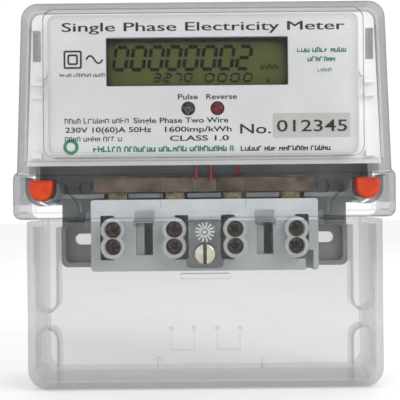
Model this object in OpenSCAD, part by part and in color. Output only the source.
// Single-phase static energy meter for a wall.
// +Z is up, the front faces -Y, and the back lies on the plane y = 0, midway up the height.
// Shapes are drawn face-on, with x across, y up the wall and z out from the wall, and upright()
// then stands them on the wall. A depth below is a distance out from the wall.

/* [Body] */
// Overall height
total_h = 151; // [151:0.5:156]
// Width of the meter cover at its top
body_top_w = 141; // [138:0.5:142]
// Width of the meter cover where it meets the shoulder
body_low_w = 146.5; // [145:0.5:147]
// Radius of the body's corners, seen from the front
body_r = 6.5; // [6:0.1:8]
// Depth of the meter cover's raised window
window_depth = 60; // [59:0.5:62]
// Depth of the meter cover's face around the window
face_depth = 56; // [55.5:0.1:57]
// Wall thickness of the clear covers
cover_wall = 2.4; // [2:0.1:2.6]

/* [Shoulder] */
// Width of the shoulder across the meter
shoulder_w = 150; // [149:0.5:152]
// Height of the shoulder
shoulder_h = 19; // [18:0.5:19]
// Height of the shoulder's top edge above the origin
shoulder_top = 10.5; // [10:0.1:10.5]
// Depth of the shoulder's face
shoulder_depth = 53; // [52.5:0.1:54]
// Distance of each seal plug from the middle
plug_x = 63.8; // [63:0.1:64.2]
// Height of the seal plugs' middle above the origin
plug_z = 2.8; // [2.5:0.1:3]
// Width of a seal plug
plug_w = 9.4; // [9:0.1:9.6]
// Height of a seal plug
plug_h = 8.4; // [8:0.1:8.6]

/* [Base] */
// Depth of the base's edge flange
flange_depth = 5; // [4:0.5:6]
// Depth of the base's side walls
base_depth = 24; // [22:0.5:25]
// Thickness of the base's floor
floor_t = 2.5; // [2:0.1:3]
// Thickness of the base's walls
base_wall = 2.2; // [2:0.1:2.4]
// Distance of each ear's outer edge from the middle
ear_reach = 62; // [61:0.1:62.2]
// Height of a mounting ear
ear_h = 19.6; // [18:0.1:19.6]
// Depth of the rim round a mounting ear
ear_depth = 8; // [6:0.5:8]
// Distance of each ear's slot from the middle
ear_slot_x = 51.8; // [51.5:0.1:52.5]
// Length of an ear's slot, end to end
ear_slot_l = 9.6; // [8:0.1:10]
// Width of an ear's slot
ear_slot_w = 4.8; // [4.2:0.1:5.2]
// Diameter of the keyhole's round end
keyhole_d = 10; // [9:0.5:11]
// Width of the keyhole's slot
keyhole_slot_w = 5; // [4.5:0.1:5.5]

/* [Nameplate] */
// Width of the nameplate
plate_w = 121.6; // [120:0.2:122]
// Height of the nameplate
plate_h = 55.6; // [54:0.2:56]
// Height of the nameplate's middle above the origin
plate_z = 43.8; // [43.6:0.1:44]
// Width of the display window
display_w = 71; // [60:0.5:72]
// Height of the display window
display_h = 19; // [16:0.5:20]
// Sideways place of the display's middle
display_x = -2.4; // [-4:0.1:0]
// Height of the display's middle above the origin
display_z = 52.7; // [52:0.1:54]
// Diameter of the indicator lamps
lamp_d = 5; // [4.8:0.1:5.2]
// Height of the indicator lamps above the origin
lamp_z = 34.3; // [34:0.1:35]
// Sideways place of the pulse lamp
pulse_x = -6; // [-7:0.1:-5]
// Sideways place of the reverse lamp
reverse_x = 5.4; // [5:0.1:7]

/* [Terminal block] */
// Width of the terminal block
block_w = 92; // [91:0.5:93]
// Height of the terminal block
block_h = 29; // [28.5:0.1:29]
// Depth of the terminal block's front face
block_depth = 37.5; // [37:0.1:38]
// Distance between neighbouring terminals
terminal_pitch = 24.4; // [24:0.1:24.8]
// Distance between the two screws of a terminal
screw_pitch = 6.8; // [6.7:0.1:7]
// Outer diameter of a screw tube
tube_d = 9.6; // [9.2:0.1:9.8]
// Depth of the screw tubes' mouths
tube_depth = 45; // [44:0.1:45.5]
// Diameter of the cable bore in a terminal
cable_bore_d = 7.6; // [7:0.1:7.8]
// Diameter of a terminal screw's head
screw_head_d = 6.3; // [6.1:0.1:6.4]
// Diameter of a terminal screw's thread
screw_thread_d = 5; // [4.5:0.1:5.2]

/* [Terminal cover] */
// Width of the terminal cover
lid_w = 140.4; // [139:0.1:141]
// Depth of the terminal cover's face
lid_depth = 50; // [49.5:0.1:50.5]
// Wall thickness of the terminal cover
lid_wall = 2.2; // [2:0.1:2.4]
// Radius of the terminal cover's lower corners
lid_r = 7.6; // [6:0.1:9]
// Height of the sealing screw above the origin
seal_z = -22.6; // [-23:0.1:-22.2]
// Diameter of the sealing screw's head
seal_head_d = 8.2; // [7.8:0.1:8.4]

/* [Hidden] */
$fn = 48;
eps = 0.01;
gap = 0.3;
top = total_h / 2;
bottom = -total_h / 2;
shoulder_low = shoulder_top - shoulder_h;
base_low = -3;
plug_front = shoulder_depth + 0.2;
plug_back = 44;
screw_seat = 36.4;
post_top = 30;
cover_post_d = 9;
cover_screw_d = 3.9;
tray_edge = 12.6;
tray_floor = 44;
tray_face = 46;
plate_back = 52.2;
plate_front = 53.2;
plate_r = 3.2;
board_w = 118;
board_h = 53;
board_z = 41;
board_back = 28;
board_front = 29.6;
board_hole_x = 54;
board_hole_h = 44;
glass_back = 48;
glass_front = 50.6;
block_top = -1;
block_back = 4;
block_low = block_top - block_h;
ear_low = block_low;
ear_top = ear_low + ear_h;
terminal_x = [for (i = [0 : 3]) (i - 1.5) * terminal_pitch];
screw_mid = -16.4;
screw_z = [screw_mid + screw_pitch / 2, screw_mid - screw_pitch / 2];
lug_back = 10.2;
lug_front = 24.4;
lug_low = -27.2;
lug_top = -4;
lug_w = 11.2;
cable_depth = 15.5;
tongue_top = 9;
tongue_back = 16;
tongue_front = 18;
screw_tip = 19.6;
screw_front = 36.5;
head_h = 4;
well_floor = 27;
centre_floor = 33.4;
block_screw_z = -26;
block_screw_seat = 1.8;
insert_d = 7;
insert_back = 23;
lid_top = -9.2;
hinge_z = -9.6;
hinge_r = 0.8;
seal_floor_back = 38.7;
seal_floor_front = 40.7;
washer_back = 47.2;
washer_front = 48;
seal_front = 51;
boss_w = 12.4;
boss_h = 16.8;
boss_z = -18.1;
bar_low = 2;
bar_high = 8.2;
bar_back = 22;
bar_front = 24;
bar_reach = 46;
link_front = 19.6;
shunt_half = 5;

grey = [0.55, 0.57, 0.58];
clear = [0.85, 0.9, 0.93, 0.35];
white = [0.93, 0.93, 0.91];
block_blue = [0.66, 0.71, 0.75];
orange = [0.87, 0.27, 0.05];
steel = [0.62, 0.6, 0.56];
brass = [0.72, 0.56, 0.28];
copper = [0.72, 0.4, 0.25];
board_green = [0.08, 0.33, 0.18];
black = [0.08, 0.08, 0.09];

// ---- Shared shapes ----

// Stands a face-on shape up against the wall.
module upright() {
    rotate([90, 0, 0]) children();
}

// Extrudes an outline between two depths.
module slab(from, to) {
    translate([0, 0, from]) linear_extrude(to - from) children();
}

module place(x, y) {
    translate([x, y, 0]) children();
}

module both_sides() {
    children();
    mirror([1, 0, 0]) children();
}

// A round bar along the depth.
module post(d, from, to) {
    slab(from, to) circle(d = d);
}

// A rounded rectangle about the origin.
module rounded(w, h, r) {
    square([w - 2 * r, h], center = true);
    square([w, h - 2 * r], center = true);
    for (x = [-1, 1], y = [-1, 1])
        translate([x * (w / 2 - r), y * (h / 2 - r)]) circle(r);
}

// A slot with round ends, lying across.
module slot(l, w) {
    square([l - w, w], center = true);
    for (x = [-1, 1])
        translate([x * (l - w) / 2, 0]) circle(d = w);
}

// A flat top on a round lower end.
module u_shape(w, h) {
    r = w / 2;
    middle = r - h / 2;
    intersection() {
        union() {
            translate([-r, middle]) square([w, h - r]);
            translate([0, middle]) circle(r);
        }
        translate([-w, -h]) square([2 * w, 1.5 * h]);
    }
}

// The body's front outline, wider at its lower end, shrunk by an inset on every side.
module body_outline(inset = 0) {
    r = body_r - inset;
    low = [body_low_w / 2 - body_r, base_low + body_r];
    high = [body_top_w / 2 - body_r, top - body_r];
    run = high - low;
    // A hair inside the corner circles, so that each side crosses them at a clear point
    out = [run[1], -run[0]] / norm(run) * (r - eps);
    flip = [-1, 1];
    polygon([
        [-low[0], low[1] - r], [low[0], low[1] - r], low + out, high + out,
        [high[0], high[1] + r], [-high[0], high[1] + r],
        [flip[0] * (high + out)[0], (high + out)[1]], [flip[0] * (low + out)[0], (low + out)[1]]
    ]);
    for (c = [low, high], side = flip)
        translate([side * c[0], c[1]]) circle(r);
}

// Everything above a height, for trimming.
module above(y) {
    translate([-shoulder_w, y]) square([2 * shoulder_w, 2 * total_h]);
}

// A screw along the depth with a pan head and a cross recess.
module cross_screw(thread_d, head_d, tip, under_head, front) {
    recess_w = head_d / 6;
    recess_l = head_d * 0.62;
    recess_t = (front - under_head) * 0.5;
    difference() {
        union() {
            post(thread_d, tip, under_head + eps);
            post(head_d, under_head, front);
        }
        for (turn = [0, 90])
            rotate(turn) translate([0, 0, front])
                cube([recess_l, recess_w, 2 * recess_t], center = true);
    }
}

// ---- Body ----

module ear_outline() {
    r = 3;
    w = ear_reach - block_w / 2 + 2 * r;
    place(ear_reach - w / 2, ear_low + ear_h / 2) rounded(w, ear_h, r);
}

module ear_pocket() {
    rim = 2;
    r = 2;
    w = ear_reach - block_w / 2 - rim + 2 * r;
    h = ear_h - 2 * rim;
    place(ear_reach - rim - w / 2, ear_low + ear_h / 2) rounded(w, h, r);
}

module keyhole_outline(grow = 0) {
    circle(d = keyhole_d + 2 * grow);
    slot_h = 9;
    translate([0, slot_h / 2]) square([keyhole_slot_w + 2 * grow, slot_h], center = true);
    translate([0, slot_h]) circle(d = keyhole_slot_w + 2 * grow);
}

module board_posts(d, from, to) {
    for (x = [-1, 1], y = [-1, 1])
        place(x * board_hole_x, board_z + y * board_hole_h / 2) post(d, from, to);
}

module base() {
    keyhole_y = 58;
    keyhole_roof = 9;
    inset = cover_wall + gap;
    color(grey) upright() difference() {
        union() {
            difference() {
                union() {
                    slab(0, flange_depth) body_outline();
                    slab(0, base_depth) body_outline(inset);
                }
                slab(floor_t, base_depth + 1) body_outline(inset + base_wall - 0.4);
            }
            // Plate behind the terminal block, its continuation behind the shoulder, and the mounting ears
            slab(0, block_back) translate([-block_w / 2, block_low])
                square([block_w, base_low - block_low + 2]);
            slab(0, block_back) translate([-ear_reach, ear_top - 3])
                square([2 * ear_reach, base_low - ear_top + 5]);
            both_sides() slab(0, ear_depth) intersection() {
                ear_outline();
                translate([block_w / 2, -total_h]) square(2 * total_h);
            }
            board_posts(6.4, floor_t - eps, board_back);
            both_sides() place(plug_x, plug_z) post(cover_post_d, floor_t - eps, post_top);
            // Hood over the keyhole, so that the case stays closed
            place(0, keyhole_y) slab(floor_t - eps, keyhole_roof + 1.5)
                translate([0, 3]) rounded(17, 22, 3);
            // Cable ribs across the floor
            for (x = [-30, 30])
                place(x, 34) slab(floor_t - eps, 6) square([1.6, 40], center = true);
        }
        both_sides() slab(block_back, ear_depth + 1) intersection() {
            ear_pocket();
            translate([block_w / 2 + gap, -total_h]) square(2 * total_h);
        }
        both_sides() place(ear_slot_x, ear_low + ear_h / 2 + 2.2)
            slab(-1, ear_depth + 1) slot(ear_slot_l, ear_slot_w);
        // Keyhole, with room behind it for a screw's head
        place(0, keyhole_y) slab(-1, floor_t + eps) keyhole_outline();
        place(0, keyhole_y) slab(floor_t, keyhole_roof) translate([0, 3]) rounded(13, 18, 3);
        board_posts(2.6, 16, board_back + 1);
        both_sides() place(plug_x, plug_z) post(cover_screw_d + 0.1, 10, post_top + 1);
        // Notches that the terminals' tongues pass through
        for (x = terminal_x)
            place(x, base_low + inset + 1.2) slab(14, base_depth + 1) square([10.4, 6], center = true);
        // Holes for the terminal block's screws
        both_sides() place(terminal_pitch, block_screw_z) {
            post(3.4, -1, block_back + 1);
            post(6.4, -1, block_screw_seat);
        }
        // Seat for the terminal block's upper edge in the flange
        slab(block_back, flange_depth + 1) place(0, block_top - 2)
            square([block_w + 2 * gap, 4 + 2 * gap], center = true);
        // Shallow panels that leave ribs across the back
        both_sides() for (y = [9, 37])
            place(38, y) slab(-1, 0.8) rounded(50, 22, 3);
    }
}

module cover_gasket() {
    color(black) upright() slab(flange_depth, flange_depth + 1) intersection() {
        difference() {
            body_outline(0.5);
            body_outline(cover_wall - 0.2);
        }
        above(shoulder_top + 1);
    }
}

module shoulder_outline(inset = 0) {
    place(0, shoulder_top - shoulder_h / 2)
        rounded(shoulder_w - 2 * inset, shoulder_h - 2 * inset, 3.2 - inset);
}

module window_outline(inset = 0) {
    place(0, plate_z) rounded(plate_w + 2 - 2 * inset, plate_h + 2 - 2 * inset, 4.6 - inset);
}

module meter_cover() {
    back = flange_depth + 1;
    skin = cover_wall;
    seam = shoulder_top - 1;
    color(clear) upright() difference() {
        union() {
            slab(back, face_depth) intersection() {
                body_outline();
                above(seam);
            }
            slab(back, shoulder_depth) shoulder_outline();
            slab(face_depth - eps, window_depth) window_outline();
        }
        difference() {
            union() {
                slab(back - 1, face_depth - skin) intersection() {
                    body_outline(skin);
                    above(seam + skin);
                }
                slab(back - 1, shoulder_depth - skin) intersection() {
                    body_outline(skin);
                    translate([-shoulder_w / 2, seam - skin]) square([shoulder_w, 2 * skin + 1]);
                }
                slab(back - 1, shoulder_depth - skin) shoulder_outline(skin - 0.2);
                slab(face_depth - skin - eps, window_depth - skin) window_outline(skin);
            }
            // Bosses round the cover screws and the seal plugs
            both_sides() place(plug_x, plug_z) slab(post_top + 0.2, shoulder_depth) u_shape(12.4, 12);
        }
        both_sides() place(plug_x, plug_z) {
            slab(plug_back - 0.6, shoulder_depth + 1) u_shape(plug_w + 0.2, plug_h + 0.2);
            post(7.8, screw_seat, plug_back);
            post(cover_screw_d + 0.5, post_top - 1, screw_seat + 1);
        }
        // Way for the terminal block under the shoulder
        translate([-block_w / 2 - 1, shoulder_low - 1, 0]) cube([block_w + 2, cover_wall + 2, tube_depth + 0.8]);
    }
}

module cover_screw(x) {
    color(steel) upright() place(x, plug_z)
        cross_screw(cover_screw_d, 7.2, 12, screw_seat, screw_seat + 3);
}

module cover_screw_left() {
    cover_screw(-plug_x);
}

module cover_screw_right() {
    cover_screw(plug_x);
}

module seal_plug(x) {
    stem_w = 5.4;
    color(orange) upright() place(x, plug_z) {
        slab(plug_back, plug_front) u_shape(plug_w, plug_h);
        post(stem_w, screw_seat + 3.2, plug_back + eps);
    }
}

module seal_plug_left() {
    seal_plug(-plug_x);
}

module seal_plug_right() {
    seal_plug(plug_x);
}

// ---- Face ----

module plate_outline(inset = 0) {
    place(0, plate_z) rounded(plate_w - 2 * inset, plate_h - 2 * inset, plate_r - inset);
}

module face_openings(grow = 0) {
    place(display_x, display_z) square([display_w + 2 * grow, display_h + 2 * grow], center = true);
    for (x = [pulse_x, reverse_x])
        place(x, lamp_z) circle(d = lamp_d + 0.5 + 2 * grow);
}

module bezel_tray() {
    wall = 1.6;
    side_x = 65.9;
    clear_of_cover = 0.4;
    color(white) upright() difference() {
        union() {
            slab(tray_floor, tray_face) intersection() {
                body_outline(cover_wall + clear_of_cover);
                above(tray_edge);
            }
            slab(tray_face - eps, plate_back) plate_outline();
            // Pins, clip bars and feet on the side strips
            both_sides() {
                place(62.8, 48.2) post(2.4, tray_face - eps, 49.5);
                for (y = [39.8, 45])
                    place(side_x - 0.4, y) slab(tray_face - eps, 48.5) square([4.2, 1.4], center = true);
                place(side_x, 16.6) slab(tray_face - eps, 48) square([3.8, 2.4], center = true);
            }
            // Legs that stand on the circuit board
            board_posts(6, board_front + 2.4, tray_floor + eps);
        }
        slab(tray_floor - 1, plate_back - wall) difference() {
            plate_outline(wall);
            for (x = [-1, 1], y = [-1, 1])
                place(x * board_hole_x, board_z + y * board_hole_h / 2) circle(d = 6);
        }
        slab(plate_back - wall - 1, plate_back + 1) face_openings();
        both_sides() place(side_x, 60.1) slab(tray_floor - 1, tray_face + 1)
            square([3.2, 12.4], center = true);
    }
}

module nameplate() {
    color([0.8, 0.82, 0.84]) upright() slab(plate_back, plate_front) difference() {
        plate_outline(0.4);
        face_openings();
    }
}

module number_sticker() {
    color([0.8, 0.77, 0.7]) upright() place(42, 27.4) slab(plate_front, plate_front + 0.15)
        rounded(30, 9.4, 0.4);
}

module display_glass() {
    ledge = 2.4;
    color([0.42, 0.43, 0.22]) upright() place(display_x, display_z) {
        slab(glass_back, glass_back + 1.2) square([display_w + 6, display_h + 8], center = true);
        slab(glass_back + 1.2 - eps, glass_front) place(0, -ledge / 2)
            square([display_w + 4, display_h + 6 - ledge], center = true);
    }
}

module display_holder() {
    wall = 1.4;
    w = display_w + 6;
    h = display_h + 8;
    color(white) upright() place(display_x, display_z) difference() {
        slab(board_front, glass_back) square([w, h], center = true);
        slab(board_front - 1, glass_back - 2) square([w - 2 * wall, h - 2 * wall], center = true);
    }
}

module display_pins() {
    pitch = 2.54;
    count = 26;
    row_y = display_z + display_h / 2 + 4.6;
    color(steel) upright() for (i = [0 : count - 1])
        place(display_x + (i - (count - 1) / 2) * pitch, row_y)
            slab(board_front, glass_back + 1) square([0.5, 0.5], center = true);
}

module lamp(x, shade) {
    flange_d = lamp_d + 0.8;
    lamp_back = 45;
    dome_base = 52;
    lead_x = 1.27;
    color(shade) upright() place(x, lamp_z) {
        post(flange_d, lamp_back, lamp_back + 1.2);
        post(lamp_d, lamp_back + 1, dome_base + eps);
        translate([0, 0, dome_base]) rotate_extrude() intersection() {
            circle(d = lamp_d);
            square(lamp_d);
        }
        for (side = [-1, 1])
            place(side * lead_x, 0) slab(board_front, lamp_back + 0.5) square([0.5, 0.5], center = true);
    }
}

module pulse_lamp() {
    lamp(pulse_x, [0.2, 0.2, 0.18]);
}

module reverse_lamp() {
    lamp(reverse_x, [0.3, 0.05, 0.07]);
}

// ---- Electronics ----

// A component's case on the front of the circuit board.
module part_case(x, y, w, h, rise) {
    place(x, y) slab(board_front, board_front + rise) square([w, h], center = true);
}

module circuit_board() {
    color(board_green) upright() slab(board_back, board_front) difference() {
        place(0, board_z) rounded(board_w, board_h, 2);
        for (x = [-1, 1], y = [-1, 1])
            place(x * board_hole_x, board_z + y * board_hole_h / 2) circle(d = 3.2);
    }
}

module board_screws() {
    color(steel) upright() for (x = [-1, 1], y = [-1, 1])
        place(x * board_hole_x, board_z + y * board_hole_h / 2)
            cross_screw(2.5, 5.2, 19, board_front, board_front + 2);
}

// A chip with legs along its two long sides.
module chip(x, y, w, h, rise, legs) {
    pitch = 1.27;
    part_case(x, y, w, h, rise);
    for (i = [0 : legs - 1], side = [-1, 1])
        place(x + (i - (legs - 1) / 2) * pitch, y + side * (h / 2 + 0.6)) slab(board_front, board_front + 0.8)
            square([0.5, 1.4], center = true);
}

module metering_chip() {
    color(black) upright() chip(12, 22, 15.4, 7.4, 2.4, 12);
}

module processor_chip() {
    color(black) upright() chip(-8, 21, 18, 7.6, 2.4, 14);
}

module memory_chip() {
    color(black) upright() chip(-26, 20, 5, 4, 1.6, 4);
}

module crystal() {
    color(steel) upright() place(-8, 29) slab(board_front, board_front + 3.6) slot(11, 4.4);
}

module mains_capacitor() {
    color([0.15, 0.3, 0.6]) upright() part_case(-49, 32, 9, 17, 12.5);
}

module smoothing_capacitor() {
    color(black) upright() place(46.5, 33) post(10, board_front, board_front + 12.5);
}

module varistor() {
    lead_half = 3.7;
    color([0.1, 0.35, 0.6]) upright() {
        translate([48, 50, board_front + 7]) rotate([0, 90, 0]) cylinder(d = 10, h = 4, center = true);
        for (side = [-1, 1])
            place(48, 50 + side * lead_half) slab(board_front, board_front + 5) square([0.7, 0.7], center = true);
    }
}

module rectifier() {
    color(black) upright() part_case(33, 30, 8, 6.4, 3.4);
}

module optocoupler() {
    color(white) upright() part_case(32, 20, 4.6, 6.4, 3.5);
}

module dropper_resistors() {
    body_d = 4;
    color([0.5, 0.6, 0.65]) upright() for (y = [46, 54])
        translate([-49.5, y, board_front + body_d / 2]) rotate([0, 90, 0])
            cylinder(d = body_d, h = 11, center = true);
}

module sense_connector() {
    color(white) upright() difference() {
        part_case(-36, 18.5, 7.6, 5.6, 6);
        place(-36, 18.5) slab(board_front + 2, board_front + 7) square([6, 4], center = true);
    }
}

// Two leads from the shunt and one from the neutral link, up to the board's back.
module sense_wires() {
    lead_d = 1.2;
    shunt_x = 3;
    neutral_x = 14;
    color([0.6, 0.1, 0.1]) upright() {
        for (x = [-shunt_x, shunt_x])
            translate([x, bar_high - 1.2, bar_front + 0.6]) rotate([-75, 0, 0]) cylinder(d = lead_d, h = 10);
        translate([neutral_x, bar_high + 0.1, link_front + 0.7]) rotate([-45, 0, 0])
            cylinder(d = lead_d, h = 9.8);
    }
}

// ---- Terminals ----

// The two merged circles of a terminal's pair of screw tubes.
module tube_pair(d) {
    for (y = screw_z)
        place(0, y) circle(d = d);
    place(0, screw_mid) square([d * 0.55, screw_pitch], center = true);
}

module terminal_block() {
    well_w = tube_d / 2 + 0.8;
    well_h = 18;
    pocket_y = -17;
    pocket_h = 13;
    shelf_front = 33;
    notch_w = 3.2;
    notch_h = 8;
    color(block_blue) upright() difference() {
        union() {
            difference() {
                place(0, block_low + block_h / 2) slab(block_back, block_depth) rounded(block_w, block_h, 1.2);
                // A well beside each pair of screw tubes, to the left and to the right by turns
                for (i = [0 : 3])
                    place(terminal_x[i] + (i % 2 - 0.5) * well_w, screw_mid)
                        slab(well_floor, block_depth + 1) rounded(well_w, well_h, 0.8);
                // Pockets between the terminals, each with a shelf at its left
                for (x = [-terminal_pitch, terminal_pitch]) {
                    place(x, pocket_y) slab(shelf_front, block_depth + 1) square([6.8, pocket_h], center = true);
                    place(x + 1.6, pocket_y) slab(14, block_depth + 1) square([3.6, pocket_h], center = true);
                }
                place(0, -19) slab(centre_floor, block_depth + 1) rounded(15, 19.6, 2);
                // Notch from the last well down to the lower edge
                place(terminal_x[3] + 5.8, block_low + notch_h / 2 - eps)
                    slab(well_floor, block_depth + 1) square([notch_w, notch_h], center = true);
            }
            for (x = terminal_x)
                place(x, 0) slab(well_floor - 1, tube_depth) tube_pair(tube_d);
        }
        for (x = terminal_x) {
            // Chamber of the brass terminal, open above for its tongue
            translate([x - lug_w / 2 - 0.2, lug_low - 0.2, lug_back - 0.2])
                cube([lug_w + 0.4, block_top - lug_low + 1, lug_front - lug_back + 0.4]);
            for (y = screw_z)
                place(x, y) post(screw_head_d + 0.3, lug_front, tube_depth + 1);
            // Cable entry, from below
            translate([x, block_low - 1, cable_depth]) rotate([-90, 0, 0])
                cylinder(d = cable_bore_d + 1.2, h = lug_low - block_low + 2);
        }
        place(0, seal_z) post(insert_d + 0.1, insert_back, centre_floor + 1);
        both_sides() place(terminal_pitch, block_screw_z) post(2.9, block_back - 1, 11);
    }
}

module block_screws() {
    color(steel) upright() both_sides() place(terminal_pitch, block_screw_z) {
        post(2.8, block_screw_seat - 0.1, 9.5);
        post(6, 0.6, block_screw_seat);
    }
}

module screw_insert() {
    color(brass) upright() place(0, seal_z) difference() {
        post(insert_d, insert_back, centre_floor);
        post(5.1, insert_back - 1, centre_floor + 1);
    }
}

module terminal_lug(i) {
    tongue_w = 8;
    color(brass) upright() translate([terminal_x[i], 0, 0]) difference() {
        union() {
            translate([-lug_w / 2, lug_low, lug_back]) cube([lug_w, lug_top - lug_low, lug_front - lug_back]);
            translate([-tongue_w / 2, lug_top - 1, tongue_back])
                cube([tongue_w, tongue_top - lug_top + 1, tongue_front - tongue_back]);
        }
        translate([0, lug_low - 1, cable_depth]) rotate([-90, 0, 0]) cylinder(d = cable_bore_d, h = 23);
        for (y = screw_z)
            place(0, y) post(screw_thread_d + 0.1, cable_depth, lug_front + 1);
    }
}

module terminal_lug_1() {
    terminal_lug(0);
}

module terminal_lug_2() {
    terminal_lug(1);
}

module terminal_lug_3() {
    terminal_lug(2);
}

module terminal_lug_4() {
    terminal_lug(3);
}

module terminal_screw(i, row) {
    color(steel) upright() place(terminal_x[i], screw_z[row])
        cross_screw(screw_thread_d, screw_head_d, screw_tip, screw_front - head_h, screw_front);
}

module terminal_screw_1a() {
    terminal_screw(0, 0);
}

module terminal_screw_1b() {
    terminal_screw(0, 1);
}

module terminal_screw_2a() {
    terminal_screw(1, 0);
}

module terminal_screw_2b() {
    terminal_screw(1, 1);
}

module terminal_screw_3a() {
    terminal_screw(2, 0);
}

module terminal_screw_3b() {
    terminal_screw(2, 1);
}

module terminal_screw_4a() {
    terminal_screw(3, 0);
}

module terminal_screw_4b() {
    terminal_screw(3, 1);
}

// Copper bar from an outer terminal's tongue to the shunt, on one side, with a foot on the tongue.
module phase_bar() {
    foot_w = 8;
    slab(tongue_front, bar_back + eps) place(terminal_x[3], (bar_low + bar_high) / 2)
        square([foot_w, bar_high - bar_low], center = true);
    slab(bar_back, bar_front) translate([shunt_half, bar_low])
        square([bar_reach - shunt_half, bar_high - bar_low]);
}

module phase_bar_in() {
    color(copper) upright() mirror([1, 0, 0]) phase_bar();
}

module phase_bar_out() {
    color(copper) upright() phase_bar();
}

module shunt_element() {
    color([0.5, 0.42, 0.36]) upright() slab(bar_back, bar_front)
        translate([-shunt_half, bar_low]) square([2 * shunt_half, bar_high - bar_low]);
}

module neutral_link() {
    link_w = terminal_x[2] - terminal_x[1] + 8;
    color(copper) upright() slab(tongue_front, link_front) place(0, 6)
        square([link_w, 6], center = true);
}

// ---- Terminal cover ----

module lid_outline(inset = 0) {
    low = bottom + inset;
    half = lid_w / 2 - inset;
    r = lid_r - inset;
    translate([-half, low + r]) square([2 * half, lid_top - inset - low - r]);
    translate([-half + r, low]) square([2 * half - 2 * r, r + eps]);
    for (side = [-1, 1])
        translate([side * (half - r), low + r]) circle(r);
}

// Inner rib beside an ear, which swells out to the side wall and back above the lower corner.
module lid_rib() {
    rib = 1.2;
    rib_x = 63.2;
    swell = 5;
    swell_high = -44;
    swell_low = -61;
    upper = lid_top - lid_wall - swell_high;
    lower = swell_low - bottom - lid_wall + gap;
    translate([rib_x - rib / 2, swell_high]) square([rib, upper]);
    translate([rib_x - rib / 2, swell_low - lower]) square([rib, lower]);
    for (bend = [[swell_high, 1], [swell_low, 0]])
        translate([rib_x + swell, bend[0]]) intersection() {
            difference() {
                circle(swell + rib / 2);
                circle(swell - rib / 2);
            }
            mirror([0, bend[1]]) translate([-swell - rib, 0]) square(swell + rib);
        }
}

module terminal_cover() {
    hook_x = 24;
    hook_w = 8;
    color(clear) upright() difference() {
        union() {
            difference() {
                slab(0.5, lid_depth) lid_outline();
                slab(-1, lid_depth - lid_wall) lid_outline(lid_wall);
                // Way for the terminal block and its tubes through the top wall
                translate([-block_w / 2 - 1, lid_top - 4, -1]) cube([block_w + 2, 6, lid_depth - lid_wall + 1]);
                // Room over the ears
                translate([-lid_w / 2 + lid_wall, lid_top - 4, -1]) cube([lid_w - 2 * lid_wall, 6, 11]);
            }
            both_sides() slab(1, 12) lid_rib();
            // Boss that holds the sealing screw, and the rib under the terminal block
            place(0, boss_z) slab(36.6, lid_depth + 0.4) rounded(boss_w, boss_h, boss_w / 2 - eps);
            place(0, -31.6) slab(40, lid_depth - lid_wall + eps) rounded(20, 2, 0.9);
            // Hooks that catch behind the shoulder's lower lip
            both_sides() translate([hook_x - hook_w / 2, lid_top - 2.2, 40]) {
                cube([hook_w, 1.8, lid_depth - lid_wall - 40 + eps]);
                cube([hook_w, 6.2, 1.8]);
            }
            // Barrels over the hooks, round about the hinge's line
            both_sides() translate([hook_x - hook_w / 2, hinge_z, lid_depth]) rotate([0, 90, 0])
                cylinder(r = hinge_r, h = hook_w);
        }
        place(0, seal_z) {
            post(seal_head_d + 0.6, seal_floor_front, lid_depth + 1);
            post(4.3, seal_floor_back - 1, seal_floor_front + 1);
            post(6, 35, seal_floor_back);
        }
        // Dish of the moulded rosette
        place(0, -13.9) post(8.6, lid_depth - 0.3, lid_depth + 1);
    }
}

module sealing_washer() {
    color(steel) upright() place(0, seal_z) difference() {
        post(seal_head_d, washer_back, washer_front);
        post(4.2, washer_back - 1, washer_front + 1);
    }
}

module sealing_screw() {
    slot_w = 1.4;
    thread_tip = 34.2;
    thread_top = 38.5;
    color([0.7, 0.68, 0.58]) upright() place(0, seal_z) difference() {
        union() {
            post(5, thread_tip, thread_top);
            post(4, thread_top - eps, washer_front + eps);
            post(seal_head_d, washer_front, seal_front);
        }
        translate([0, 0, seal_front]) cube([slot_w, seal_head_d + 1, 2.4], center = true);
    }
}

base();
cover_gasket();
meter_cover();
cover_screw_left();
cover_screw_right();
seal_plug_left();
seal_plug_right();
bezel_tray();
nameplate();
number_sticker();
display_glass();
display_holder();
display_pins();
circuit_board();
board_screws();
pulse_lamp();
reverse_lamp();
metering_chip();
processor_chip();
memory_chip();
crystal();
mains_capacitor();
smoothing_capacitor();
varistor();
rectifier();
optocoupler();
dropper_resistors();
sense_connector();
sense_wires();
terminal_block();
block_screws();
screw_insert();
terminal_lug_1();
terminal_lug_2();
terminal_lug_3();
terminal_lug_4();
terminal_screw_1a();
terminal_screw_1b();
terminal_screw_2a();
terminal_screw_2b();
terminal_screw_3a();
terminal_screw_3b();
terminal_screw_4a();
terminal_screw_4b();
phase_bar_in();
shunt_element();
phase_bar_out();
neutral_link();
terminal_cover();
sealing_washer();
sealing_screw();
